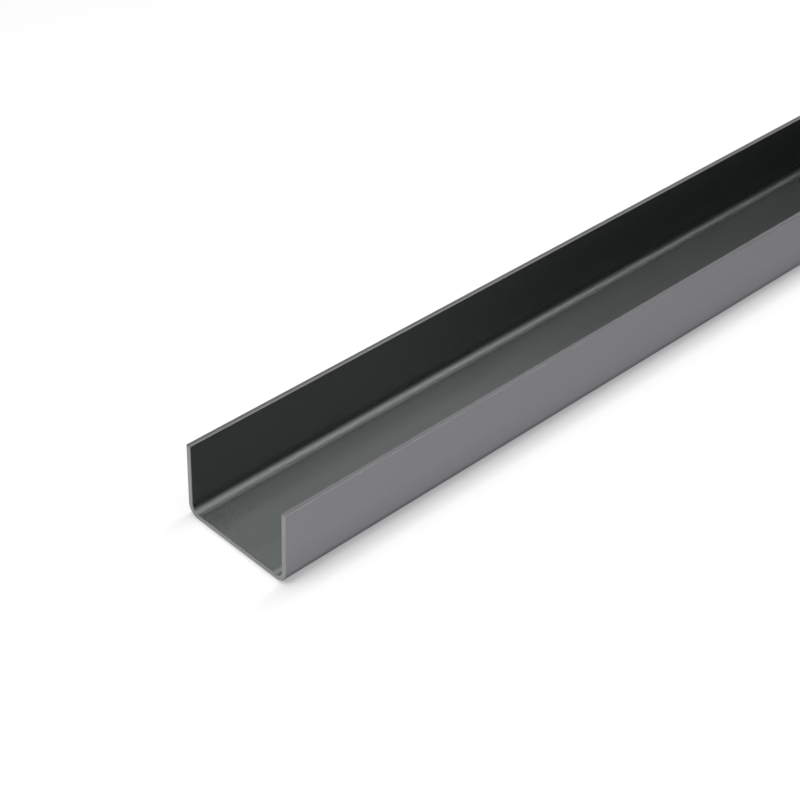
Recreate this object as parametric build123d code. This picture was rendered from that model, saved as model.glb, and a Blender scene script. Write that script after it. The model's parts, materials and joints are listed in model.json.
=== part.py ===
from build123d import *
import os

# Steel channel section, cold formed from one strip of sheet: a flat web with a flange turned
# up square along each side. It is one piece, so it is one solid.
#
# Lengths are in millimetres. X runs along the length, Y across the web and Z up, out of the
# open side. The origin is on the underside of the web, at the middle of its length and width.

# The stock
LENGTH = 1000.0            # between the two cut ends
THICKNESS = 2.0            # of the sheet, in the web and in both flanges
WEB_WIDTH = 50.0           # over the outside faces of the flanges
FLANGE_HEIGHT = 30.0       # from the underside of the web to the tips of the flanges

# Its bends and edges
INNER_BEND_RADIUS = 3.0    # inside each bend, where the sheet was folded round the tool
TIP_RADIUS = 0.3           # on the slit edges of the strip, which became the flange tips
END_DEBURR = 0.2           # chamfer where a file took the burr off the cut ends

# Edges worked from both faces of the sheet can't meet in its middle
LARGEST_EDGE_SHARE = 0.45


def within_the_sheet(edge_size):
    """A rounding or chamfer, held to what the sheet is thick enough for."""
    return min(edge_size, LARGEST_EDGE_SHARE * THICKNESS)


def rounded_tray(width, bottom, bend_radius):
    """A filled outline, square at the flange tips, with its two lower corners rounded."""
    tray = Pos(0, bottom) * Rectangle(
        width, FLANGE_HEIGHT - bottom, align=(Align.CENTER, Align.MIN)
    )
    lower_corners = tray.vertices().group_by(Axis.Y)[0]
    return fillet(lower_corners, bend_radius)


def channel_outline():
    """The section across the length: the outside of the U, less the space inside it."""
    outside = rounded_tray(WEB_WIDTH, 0, INNER_BEND_RADIUS + THICKNESS)
    inside = rounded_tray(WEB_WIDTH - 2 * THICKNESS, THICKNESS, INNER_BEND_RADIUS)
    return outside - inside


def with_rounded_tips(outline):
    """The same section, with both corners of each flange tip rounded."""
    tip_corners = outline.vertices().group_by(Axis.Y)[-1]
    return fillet(tip_corners, within_the_sheet(TIP_RADIUS))


def cut_to_length(outline):
    """The outline run along X, with half of the length to each side of the origin."""
    return extrude(Plane.YZ * outline, LENGTH / 2, both=True)


def with_deburred_ends(bar):
    """The bar with the edges all round both cut ends broken."""
    faces_along = bar.faces().sort_by(Axis.X)
    burrs = faces_along[0].edges() + faces_along[-1].edges()
    return chamfer(burrs, within_the_sheet(END_DEBURR))


def make_channel():
    """What the square-tipped bar with deburred ends shares with the round-tipped one."""
    outline = channel_outline()
    deburred = with_deburred_ends(cut_to_length(outline))
    rounded = cut_to_length(with_rounded_tips(outline))
    return deburred & rounded


os.makedirs("parts", exist_ok=True)
channel = make_channel()
export_step(channel, "parts/channel.step")

size = channel.bounding_box().size
print(f"channel: {size.X:.2f} x {size.Y:.2f} x {size.Z:.2f} mm, {channel.volume:.0f} cubic mm")
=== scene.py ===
# %% [markdown]
# # A steel channel section
#
# The real object is a length of channel: one strip of steel sheet, folded up along both sides
# by rolls, so that it has a flat web and two flanges. It lies on its web with the open side up.
# It has no second piece, so the lesson makes one mesh and spends its care on the shape of the
# bends and edges, and on the way satin steel shows what stands round it.

import json
import math

import bpy
from mathutils import Matrix, Vector


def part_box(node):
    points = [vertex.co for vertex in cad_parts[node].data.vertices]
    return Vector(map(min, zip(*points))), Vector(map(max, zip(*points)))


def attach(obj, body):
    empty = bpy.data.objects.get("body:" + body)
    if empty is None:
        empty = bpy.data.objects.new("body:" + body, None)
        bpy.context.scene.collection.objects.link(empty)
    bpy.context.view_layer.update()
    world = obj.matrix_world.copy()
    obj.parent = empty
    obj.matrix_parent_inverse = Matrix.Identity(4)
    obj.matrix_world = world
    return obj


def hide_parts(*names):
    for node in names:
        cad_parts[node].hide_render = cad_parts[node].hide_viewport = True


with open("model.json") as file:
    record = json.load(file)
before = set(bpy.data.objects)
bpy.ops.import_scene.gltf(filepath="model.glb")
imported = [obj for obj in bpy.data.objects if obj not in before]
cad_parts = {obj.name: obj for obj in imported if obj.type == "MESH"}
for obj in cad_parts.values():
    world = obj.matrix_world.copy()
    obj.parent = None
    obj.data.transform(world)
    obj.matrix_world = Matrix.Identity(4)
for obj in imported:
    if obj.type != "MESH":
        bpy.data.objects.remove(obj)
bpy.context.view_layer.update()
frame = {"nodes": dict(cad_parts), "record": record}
print("frame nodes:", sorted(frame["nodes"]))

# %% [markdown]
# ## Sizes
#
# Every size comes from the frame. The node's box gives the length, the width over the flanges
# and their height. The mount on the inside of the web lies one sheet above the floor, so it
# gives the thickness.

# %% Read the stock's sizes
STOCK = "channel"
MM_PER_METRE = 1000


def in_mm(*sizes):
    """Sizes in metres as text in millimetres."""
    return " x ".join(f"{size * MM_PER_METRE:.2f}" for size in sizes) + " mm"


low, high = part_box(STOCK)
length = high.x - low.x
web_width = high.y - low.y
flange_height = high.z - low.z
mounts = {mount["name"]: mount for mount in frame["record"]["mounts"]}
thickness = mounts["web_inside"]["pos_m"][2] - low.z
print("stock", in_mm(length, web_width, flange_height), "in sheet of", in_mm(thickness))

# %% [markdown]
# The radii and the deburred edge are read off the node where its flats begin. A flange's flat
# starts above the bend, a tip's flat starts inside its rounding, and a cut end's flat starts
# above its chamfer. The tips read a few hundredths of a millimetre small, because the last
# facets of their rounding are so nearly level that they count as flat.

# %% Read its bends and edges
SAME_PLACE = 1e-5


def same(a, b):
    """True where two coordinates are the same place on the bar."""
    return abs(a - b) < SAME_PLACE


skin = [vertex.co for vertex in frame["nodes"][STOCK].data.vertices]
bend_radius = min(point.z for point in skin if same(point.y, high.y)) - low.z
tip_radius = high.y - max(point.y for point in skin if same(point.z, high.z))
deburr = min(point.z for point in skin if same(point.x, high.x)) - low.z
print("bend", in_mm(bend_radius), "tips", in_mm(tip_radius), "deburr", in_mm(deburr))

# %% [markdown]
# ## The camera
#
# The photograph looks down on the cut end from its left, through a long lens held a little
# out of level. A camera is easiest to set as a photographer would: a point to aim at, a
# direction and distance to stand back, and the tilt of the camera about its own line of sight.

# %% Set up the camera
AIM_PAST_CUT_END = 0.0846
AIM_ACROSS = 0.0085
AIM_HEIGHT = 0.015
CAMERA_AZIMUTH = math.radians(-45.66)
CAMERA_ELEVATION = math.radians(37.30)
CAMERA_DISTANCE = 0.6879
CAMERA_ROLL = math.radians(2.33)
LENS_MM = 86.08


def direction(azimuth, elevation):
    """The way towards something seen from the bar: azimuth 0 is -Y and 90 degrees is +X."""
    return Vector((
        math.sin(azimuth) * math.cos(elevation),
        -math.cos(azimuth) * math.cos(elevation),
        math.sin(elevation),
    ))


aim = Vector((low.x + AIM_PAST_CUT_END, AIM_ACROSS, AIM_HEIGHT))
stand_back = direction(CAMERA_AZIMUTH, CAMERA_ELEVATION)
bpy.ops.object.camera_add(location=aim + stand_back * CAMERA_DISTANCE)
camera = bpy.context.object
level = (-stand_back).to_track_quat("-Z", "Y").to_matrix()
camera.rotation_euler = (level @ Matrix.Rotation(CAMERA_ROLL, 3, "Z")).to_euler()
camera.data.lens = LENS_MM
bpy.context.scene.camera = camera
bpy.context.scene.view_settings.view_transform = "Standard"
print("camera at", [round(c, 3) for c in camera.location])

# %% [markdown]
# ## Modelling helpers
#
# The shape is worked in edit mode, as by hand. A click is replaced by a rule: pick the edges
# that lie in a certain place, then run the same tool that a menu would. A new piece is started
# with nothing selected, because a tool acts on all that is.

# %% Start and stop
def start_clean():
    """Leave nothing selected, so that the next tool acts on the new piece alone."""
    bpy.ops.object.select_all(action="DESELECT")


def stop_editing():
    """Back to object mode, with the edits kept."""
    bpy.ops.object.mode_set(mode="OBJECT")


# %% Pick edges by their place
def pick_nothing(kind):
    """Clear every pick in edit mode, and leave the kind of pick set to EDGE or FACE."""
    bpy.ops.object.mode_set(mode="EDIT")
    bpy.ops.mesh.select_mode(type=kind)
    bpy.ops.mesh.select_all(action="DESELECT")
    bpy.ops.object.mode_set(mode="OBJECT")


def pick_edges(piece, wanted):
    """Enter edit mode with just the edges picked whose two ends pass the rule together."""
    pick_nothing("EDGE")
    points = piece.data.vertices
    for edge in piece.data.edges:
        start, end = edge.vertices
        edge.select = wanted(points[start].co, points[end].co)
    picked = sum(edge.select for edge in piece.data.edges)
    bpy.ops.object.mode_set(mode="EDIT")
    return picked


# %% [markdown]
# ## Folding the strip
#
# A bar like this could be extruded from a drawn section. Folding a sheet is closer to how it
# is made, and it keeps the two sides of the sheet apart, which matters later: the inside and
# the outside of the bar get finishes of their own. So the bar starts as a flat sheet as wide
# as the web, and both long edges are pulled up into flanges. This sheet is the outside skin.

# %% Lay out the web
start_clean()
bpy.ops.mesh.primitive_plane_add(size=1, location=(0, 0, low.z))
bar = bpy.context.object
bar.name = "channel_bar"
bar.scale = (length, web_width, 1)
bpy.ops.object.transform_apply(location=True, rotation=True, scale=True)
print("web", in_mm(bar.dimensions.x, bar.dimensions.y))


# %% Pull up the flanges
def runs_along(start, end):
    """True for an edge along the bar's length."""
    return same(start.y, end.y) and same(start.z, end.z)


sides = pick_edges(bar, runs_along)
bpy.ops.mesh.extrude_region_move(TRANSFORM_OT_translate={"value": (0, 0, flange_height)})
stop_editing()
print("sides pulled up:", sides, "faces:", len(bar.data.polygons))

# %% [markdown]
# The corner between web and flange is a true arc on the real bar, because the strip bends
# round a tool. A bevel with many segments gives that arc, with the radius as its width. The
# arc catches a long thin highlight, so it gets enough segments to stay smooth close up.

# %% Round the two bends
BEND_SEGMENTS = 24

pick_edges(bar, lambda a, b: runs_along(a, b) and same(a.z, low.z))
bpy.ops.mesh.bevel(offset=bend_radius, segments=BEND_SEGMENTS, affect="EDGES")
bpy.ops.mesh.select_all(action="SELECT")
bpy.ops.mesh.normals_make_consistent(inside=False)
stop_editing()
web_face = max(bar.data.polygons, key=lambda face: face.area)
print("web faces down:", web_face.normal.z < 0, "faces:", len(bar.data.polygons))

# %% [markdown]
# The skin now gets its thickness, inwards, so that the outside sizes hold. The modifier can
# number the new faces for us: the outside keeps finish 0, the inside gets 1 and the rim, which
# is every cut edge of the sheet, gets 2.

# %% Give the sheet its thickness
FINISHES = ("outside_face", "inside_face", "slit_edge", "cut_end")
OUTSIDE, INSIDE, SLIT_EDGE, CUT_END = range(4)


def faces_with(finish_number):
    """How many faces of the bar have a finish."""
    return sum(face.material_index == finish_number for face in bar.data.polygons)


for finish in FINISHES:
    bar.data.materials.append(bpy.data.materials.new(finish))
solidify = bar.modifiers.new("sheet", "SOLIDIFY")
solidify.thickness = thickness
solidify.offset = -1
solidify.use_even_offset = True
solidify.use_quality_normals = True
solidify.material_offset = INSIDE
solidify.material_offset_rim = SLIT_EDGE
bpy.ops.object.modifier_apply(modifier=solidify.name)
print("outside, inside and rim:", faces_with(OUTSIDE), faces_with(INSIDE), faces_with(SLIT_EDGE))

# %% [markdown]
# ## Edges
#
# No edge of real sheet is perfectly sharp, and a sharp one looks drawn, because nothing on it
# catches the light. The flange tips are the slit edges of the strip, slightly rounded as the
# rolls press them. A bevel of a few segments along them is enough for so small an edge.

# %% Round the flange tips
TIP_SEGMENTS = 4

tips = pick_edges(bar, lambda a, b: runs_along(a, b) and same(a.z, high.z))
bpy.ops.mesh.bevel(offset=tip_radius, segments=TIP_SEGMENTS, affect="EDGES")
stop_editing()
print("tip edges rounded:", tips)

# %% [markdown]
# The two cut ends had their burr filed off, which leaves a narrow chamfer all round. Its edges
# run in many directions, so a rule for each would be long. It is shorter to pick the faces of
# the ends and let Blender turn that pick into its border. The flat of each end then gets the
# sawn finish.

# %% Deburr the cut ends
ALONG = 0.99


def pick_faces(piece, wanted):
    """Enter edit mode with just the faces picked whose normal passes the rule."""
    pick_nothing("FACE")
    for face in piece.data.polygons:
        face.select = wanted(face.normal)
    picked = sum(face.select for face in piece.data.polygons)
    bpy.ops.object.mode_set(mode="EDIT")
    return picked


ends = pick_faces(bar, lambda normal: abs(normal.x) > ALONG)
bpy.ops.mesh.region_to_loop()
bpy.ops.mesh.bevel(offset=deburr, segments=1, affect="EDGES")
stop_editing()
for face in bar.data.polygons:
    if abs(face.normal.x) > ALONG:
        face.material_index = CUT_END
print("end faces:", ends, "bar faces:", len(bar.data.polygons))

# %% [markdown]
# Shaded smooth all over, the wide flats would look bent beside the bends. So the bends and tips
# are smoothed by angle, which keeps every real corner crisp, and weighted normals keep the
# flats truly flat beside the narrow facets of the bends.

# %% Shade the bar
SMOOTH_BELOW = math.radians(30)

start_clean()
bar.select_set(True)
bpy.context.view_layer.objects.active = bar
bpy.ops.object.shade_smooth_by_angle(angle=SMOOTH_BELOW)
weighted = bar.modifiers.new("flat flats", "WEIGHTED_NORMAL")
weighted.keep_sharp = True
bpy.ops.object.modifier_apply(modifier=weighted.name)
print("edges kept sharp:", sum(edge.use_edge_sharp for edge in bar.data.edges))

# %% [markdown]
# Steel sheet leaves the rolls with a fine grain along its length. Grain needs a direction, and
# texture coordinates give one that stays with the bar. An unwrap would need seams. A box
# projection needs none: it lays the coordinates flat on every side, in metres, with the first
# one along the bar on the web, flanges and bends alike.

# %% Lay texture coordinates along the grain
bpy.ops.object.mode_set(mode="EDIT")
bpy.ops.mesh.select_all(action="SELECT")
bpy.ops.uv.cube_project(cube_size=1, correct_aspect=False)
stop_editing()
print("texture layer:", bar.data.uv_layers.active.name)

# %% [markdown]
# ## Finishes
#
# Each finish starts as plain metal, and patterns are then wired into its colour, its roughness
# or its relief. A material is a set of nodes, so a few helpers add nodes and join them.

# %% Set up a metal
def shader_of(finish):
    """The finish's own shader."""
    return finish.node_tree.nodes["Principled BSDF"]


def metal(name, colour, roughness):
    """A plain metal in one colour."""
    finish = bpy.data.materials[name]
    finish.use_nodes = True
    shader = shader_of(finish)
    shader.inputs["Base Color"].default_value = (*colour, 1)
    shader.inputs["Metallic"].default_value = 1
    shader.inputs["Roughness"].default_value = roughness
    return finish


# %% Add nodes and join them
def add(finish, kind, **settings):
    """A new node, set up by name."""
    node = finish.node_tree.nodes.new(kind)
    for name, value in settings.items():
        setattr(node, name, value)
    return node


def wire(finish, source, target):
    """Join one node's output to another's input."""
    finish.node_tree.links.new(source, target)


def combine(finish, how, first, second):
    """Two values made into one, by a rule such as MULTIPLY or MINIMUM."""
    node = add(finish, "ShaderNodeMath", operation=how)
    wire(finish, first, node.inputs[0])
    wire(finish, second, node.inputs[1])
    return node.outputs["Value"]


def blend(finish, source, start, end, before, after):
    """A value that goes from before to after while its source goes from start to end."""
    node = add(finish, "ShaderNodeMapRange")
    node.inputs["From Min"].default_value = start
    node.inputs["From Max"].default_value = end
    node.inputs["To Min"].default_value = before
    node.inputs["To Max"].default_value = after
    wire(finish, source, node.inputs["Value"])
    return node.outputs["Result"]


# %% [markdown]
# A pattern is noise on the object's own coordinates, so it stays where it is when the bar is
# turned. One helper stretches it and gives it a range of values. Noise runs from 0 to 1 but
# keeps near the middle, so the range is laid over the part that it really uses.

# %% Make a pattern
NOISE_SPAN = (0.3, 0.7)
NOISE_DETAIL = 3


def pattern(finish, per_metre, values, detail=NOISE_DETAIL, turn=0):
    """Noise with so many waves to the metre along X, Y and Z, turned about X, over a range."""
    place = add(finish, "ShaderNodeTexCoord").outputs["Object"]
    stretch = add(finish, "ShaderNodeMapping", vector_type="TEXTURE")
    stretch.inputs["Rotation"].default_value = (turn, 0, 0)
    stretch.inputs["Scale"].default_value = [1 / waves for waves in per_metre]
    noise = add(finish, "ShaderNodeTexNoise")
    noise.inputs["Scale"].default_value = 1
    noise.inputs["Detail"].default_value = detail
    wire(finish, place, stretch.inputs["Vector"])
    wire(finish, stretch.outputs["Vector"], noise.inputs["Vector"])
    return blend(finish, noise.outputs["Fac"], *NOISE_SPAN, *values)


def tint(finish, colour, factor):
    """The colour, scaled by a pattern, on the shader's colour."""
    node = add(finish, "ShaderNodeVectorMath", operation="SCALE")
    node.inputs[0].default_value = colour
    wire(finish, factor, node.inputs["Scale"])
    wire(finish, node.outputs["Vector"], shader_of(finish).inputs["Base Color"])


# %% [markdown]
# ### The rolled faces
#
# Mill steel is a grey, satin metal. The grain left by the rolls spreads a reflection across the
# bar and leaves it narrower along the bar, which is why the web looks even from side to side
# and still darkens towards the far end. Cycles calls that anisotropy. It runs across the
# tangent, so it is turned a quarter. The outside leans to violet and the inside to green, both
# very slightly.
#
# Polished metal mirrors more and more towards grazing angles. Rolled sheet doesn't, as its
# fine hills shade each other, so the tint that the shader gives metal there is a mid grey.

# %% Set up rolled sheet
GRAZING_TINT = (0.5, 0.5, 0.5, 1)
FACE_ROUGHNESS = 0.25
GRAIN = 0.88
QUARTER_TURN = 0.25


def grained(name, colour):
    """Satin metal that mirrors most sharply along the bar."""
    finish = metal(name, colour, FACE_ROUGHNESS)
    shader = shader_of(finish)
    shader.inputs["Specular Tint"].default_value = GRAZING_TINT
    shader.inputs["Anisotropic"].default_value = GRAIN
    shader.inputs["Anisotropic Rotation"].default_value = QUARTER_TURN
    along = add(finish, "ShaderNodeTangent", direction_type="UV_MAP")
    along.uv_map = bar.data.uv_layers.active.name
    wire(finish, along.outputs["Tangent"], shader.inputs["Tangent"])
    return finish


# %% [markdown]
# One even grey would look like paint. Rolled sheet has faint clouds from its cooling, faint
# streaks from the rolls and a fine grain in its gloss, all of them long along the bar.

# %% Finish the outside and the inside
OUTSIDE_COLOUR = (0.224, 0.219, 0.237)
INSIDE_COLOUR = (0.220, 0.235, 0.232)
CLOUDS = (9, 26, 26)
CLOUD_SHADES = (0.975, 1.025)
STREAKS = (5, 420, 420)
STREAK_SHADES = (0.985, 1.015)
FINE_GRAIN = (20, 900, 900)
GRAIN_DEPTH = 0.008


def rolled(name, colour):
    """Grained sheet with faint clouds and streaks, and the pattern of its gloss."""
    finish = grained(name, colour)
    clouds = pattern(finish, CLOUDS, CLOUD_SHADES)
    streaks = pattern(finish, STREAKS, STREAK_SHADES)
    tint(finish, colour, combine(finish, "MULTIPLY", clouds, streaks))
    depth = (FACE_ROUGHNESS - GRAIN_DEPTH, FACE_ROUGHNESS + GRAIN_DEPTH)
    fine = pattern(finish, FINE_GRAIN, depth)
    wire(finish, fine, shader_of(finish).inputs["Roughness"])
    return finish, fine


rolled("outside_face", OUTSIDE_COLOUR)
inside, fine = rolled("inside_face", INSIDE_COLOUR)
print("faces finished as outside and inside:", faces_with(OUTSIDE), faces_with(INSIDE))

# %% [markdown]
# The nose of the folding roll pressed hardest where each bend meets the web, and dulled a
# strip there. That strip widens the line of light in the bend and fades it out over the web.
# It could be a face of its own with a duller finish, but then it would end at a hard line. So
# the roughness changes by place: the dulling is the lesser of two fades, one across the web
# and one up the bend.

# %% Read a place on the surface
def own_place(finish, axis):
    """How far along the object's own X, Y or Z a point of the surface lies."""
    parts = add(finish, "ShaderNodeSeparateXYZ")
    wire(finish, add(finish, "ShaderNodeTexCoord").outputs["Object"], parts.inputs["Vector"])
    return parts.outputs[axis]


def distance_from_middle(finish):
    """How far across the bar a point lies from its middle line, on either side."""
    node = add(finish, "ShaderNodeMath", operation="ABSOLUTE")
    wire(finish, own_place(finish, "Y"), node.inputs[0])
    return node.outputs["Value"]


# %% Dull the inside along the bends
DULLING = 1.6
FADE_ON_WEB = 0.0017
DULL_TO_HEIGHT = 0.0005
FADED_AT_HEIGHT = 0.002

web_edge = high.y - bend_radius
web_top = low.z + thickness
across = distance_from_middle(inside)
on_web = blend(inside, across, web_edge - FADE_ON_WEB, web_edge, 1, DULLING)
dull_to = web_top + DULL_TO_HEIGHT
faded_at = web_top + FADED_AT_HEIGHT
up_bend = blend(inside, own_place(inside, "Z"), dull_to, faded_at, DULLING, 1)
dulling = combine(inside, "MINIMUM", on_web, up_bend)
roughness = combine(inside, "MULTIPLY", fine, dulling)
wire(inside, roughness, shader_of(inside).inputs["Roughness"])
print("dulled", in_mm(FADE_ON_WEB), "of the web and", in_mm(FADED_AT_HEIGHT), "up the bend")

# %% [markdown]
# ### The slit edges
#
# The strip was slit from a wider coil. Round knives cut the first third of the thickness
# cleanly, which leaves a bright band, and the rest tears, which leaves a duller one with a
# ragged border. Two rows of faces could show the bands, but their border would be straight. So
# the distance from the middle of the bar tells them apart, and noise makes it ragged.

# %% Finish the slit edges
SLIT_COLOUR = (0.27, 0.27, 0.275)
TORN_SHADE = 0.90
TORN_ROUGHNESS = 0.50
CLEAN_ROUGHNESS = 0.34
CLEAN_SHARE = 1 / 3
BORDER = 0.00005
RAGGED = 0.00012
TORN_WAVES = (700, 300, 300)

slit = metal("slit_edge", SLIT_COLOUR, CLEAN_ROUGHNESS)
torn_border = pattern(slit, TORN_WAVES, (-RAGGED, RAGGED))
ragged = combine(slit, "ADD", distance_from_middle(slit), torn_border)

torn_to = high.y - thickness * CLEAN_SHARE - BORDER
clean_from = torn_to + 2 * BORDER
shade = blend(slit, ragged, torn_to, clean_from, TORN_SHADE, 1)
tint(slit, SLIT_COLOUR, shade)
gloss = blend(slit, ragged, torn_to, clean_from, TORN_ROUGHNESS, CLEAN_ROUGHNESS)
wire(slit, gloss, shader_of(slit).inputs["Roughness"])
print("faces finished as slit:", faces_with(SLIT_EDGE), "clean band", in_mm(high.y - clean_from))

# %% [markdown]
# ### The cut ends
#
# The bar was sawn to length. A saw leaves bare metal, brighter than the rolled faces, with fine
# parallel scratches that slope a little. A wave texture would give them as evenly as a comb.
# Noise stretched along the scratches varies as a saw does, and it gives both their colour and
# a relief of a few thousandths of a millimetre.

# %% Finish the cut ends
CUT_COLOUR = (0.27, 0.27, 0.27)
CUT_ROUGHNESS = 0.40
SAW_SLOPE = math.radians(12)
SAW_LINES = (60, 2200, 60)
SAW_DETAIL = 2
SAW_SHADES = (0.93, 1.07)
SAW_DEPTH = 0.000004

cut = metal("cut_end", CUT_COLOUR, CUT_ROUGHNESS)
lines = pattern(cut, SAW_LINES, SAW_SHADES, detail=SAW_DETAIL, turn=SAW_SLOPE)
tint(cut, CUT_COLOUR, lines)
relief = add(cut, "ShaderNodeBump")
relief.inputs["Distance"].default_value = SAW_DEPTH
wire(cut, lines, relief.inputs["Height"])
wire(cut, relief.outputs["Normal"], shader_of(cut).inputs["Normal"])
print("faces finished as sawn:", faces_with(CUT_END))

# %% [markdown]
# ## The studio
#
# The bar lies on a sheet, so wide that its far edge is lost in the white behind it. The sheet
# lies a hair below the bar, because two faces in one place would render as speckle.

# %% Lay the floor
FLOOR_SIZE = 60
FLOOR_GAP = 0.0001

start_clean()
bpy.ops.mesh.primitive_plane_add(size=FLOOR_SIZE, location=(0, 0, low.z - FLOOR_GAP))
floor = bpy.context.object
floor.name = "floor"
print("floor", FLOOR_SIZE, "m square")

# %% [markdown]
# The floor has a pale paint. The camera and the metal see a glow on top of the paint, which
# lifts it to white where no shadow falls. Bounced light doesn't meet the glow, so it adds no
# light of its own to the bar, and the soft shadow at the foot of the bar stays. The glow grows
# away from the bar, past the reach of the lamps, so the floor is white to its end.

# %% Paint the floor
WHITE = (1, 1, 1, 1)
PAINT = 0.60
GLOW = 0.31
WHITE_FROM = 0.6
WHITE_AT = 2.2

pale = bpy.data.materials.new("pale_floor")
pale.use_nodes = True
floor.data.materials.append(pale)
paint = shader_of(pale)
paint.inputs["Base Color"].default_value = (PAINT, PAINT, PAINT, 1)
paint.inputs["Roughness"].default_value = 1
paint.inputs["Specular IOR Level"].default_value = 0
paint.inputs["Emission Color"].default_value = WHITE

ray = add(pale, "ShaderNodeLightPath").outputs
seen_or_mirrored = combine(pale, "MAXIMUM", ray["Is Camera Ray"], ray["Is Glossy Ray"])
seen = combine(pale, "MAXIMUM", seen_or_mirrored, ray["Is Transmission Ray"])
away = add(pale, "ShaderNodeVectorMath", operation="LENGTH")
wire(pale, add(pale, "ShaderNodeTexCoord").outputs["Object"], away.inputs[0])
glow = blend(pale, away.outputs["Value"], WHITE_FROM, WHITE_AT, GLOW, 1)
wire(pale, combine(pale, "MULTIPLY", seen, glow), paint.inputs["Emission Strength"])
print("glow", GLOW, "to", WHITE_FROM, "m, then up to 1 at", WHITE_AT, "m")

# %% [markdown]
# ## Light
#
# A satin bar shows what hangs over it. In the photograph the web and the inner bends are bright
# where they look up, and the inside of the far flange, which looks low across the room, is
# nearly black. So the room is dim down to a low white wall far away, which the flanges hide
# from the web on both sides. The wall needs no mesh: the world's brightness changes with the
# height of a direction, and its Z is the sine of that height.

# %% Light the room
ROOM = 0.05
WALL = 1
WALL_TOP = math.radians(8)
DIM_FROM = math.radians(12)

room = bpy.data.worlds.new("room")
bpy.context.scene.world = room
room.use_nodes = True
surroundings = room.node_tree.nodes["Background"]
surroundings.inputs["Color"].default_value = WHITE
way = add(room, "ShaderNodeSeparateXYZ")
wire(room, add(room, "ShaderNodeTexCoord").outputs["Generated"], way.inputs["Vector"])
fade = (math.sin(WALL_TOP), math.sin(DIM_FROM))
brightness = blend(room, way.outputs["Z"], *fade, WALL, ROOM)
wire(room, brightness, surroundings.inputs["Strength"])
print("wall", WALL, "up to", round(math.degrees(WALL_TOP)), "degrees, room", ROOM)

# %% [markdown]
# Two flat lamps hang over the bar: a wide soft one, and a narrow one, brighter, right above it.
# Where they end on the right sets how the web darkens towards the far end. On the left no metal
# in the picture mirrors them. They run on there to light the floor evenly, because the outer
# face mirrors the floor at its foot. Blender asks for a lamp's whole power. It is worked out
# from how bright the lamp should look and how large it is, so a lamp can be widened without
# changing its brightness in the steel.

# %% Hang the lamps
LAMP_HEIGHT = 1.3
LAMP_GAP = 0.02
WIDE_LAMP = (-2.00, 0.80, -1.00, 0.75)
WIDE_RADIANCE = 1.04
NARROW_LAMP = (-2.20, 1.31, -0.06, 0.31)
NARROW_RADIANCE = 5.2


def hang_lamp(name, sides, height, radiance):
    """A flat lamp, equally bright all over, between two places along and across the bar."""
    x0, x1, y0, y1 = sides
    bpy.ops.object.light_add(type="AREA", location=((x0 + x1) / 2, (y0 + y1) / 2, height))
    lamp = bpy.context.object
    lamp.name = name
    lamp.data.shape = "RECTANGLE"
    lamp.data.size = x1 - x0
    lamp.data.size_y = y1 - y0
    lamp.data.energy = radiance * math.pi * lamp.data.size * lamp.data.size_y
    lamp.visible_camera = False
    print(name, round(lamp.data.size, 2), "x", round(lamp.data.size_y, 2), "m")


hang_lamp("wide_lamp", WIDE_LAMP, LAMP_HEIGHT, WIDE_RADIANCE)
hang_lamp("narrow_lamp", NARROW_LAMP, LAMP_HEIGHT - LAMP_GAP, NARROW_RADIANCE)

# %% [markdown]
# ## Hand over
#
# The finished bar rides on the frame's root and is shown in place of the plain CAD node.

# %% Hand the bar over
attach(bar, "root")
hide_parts(STOCK)
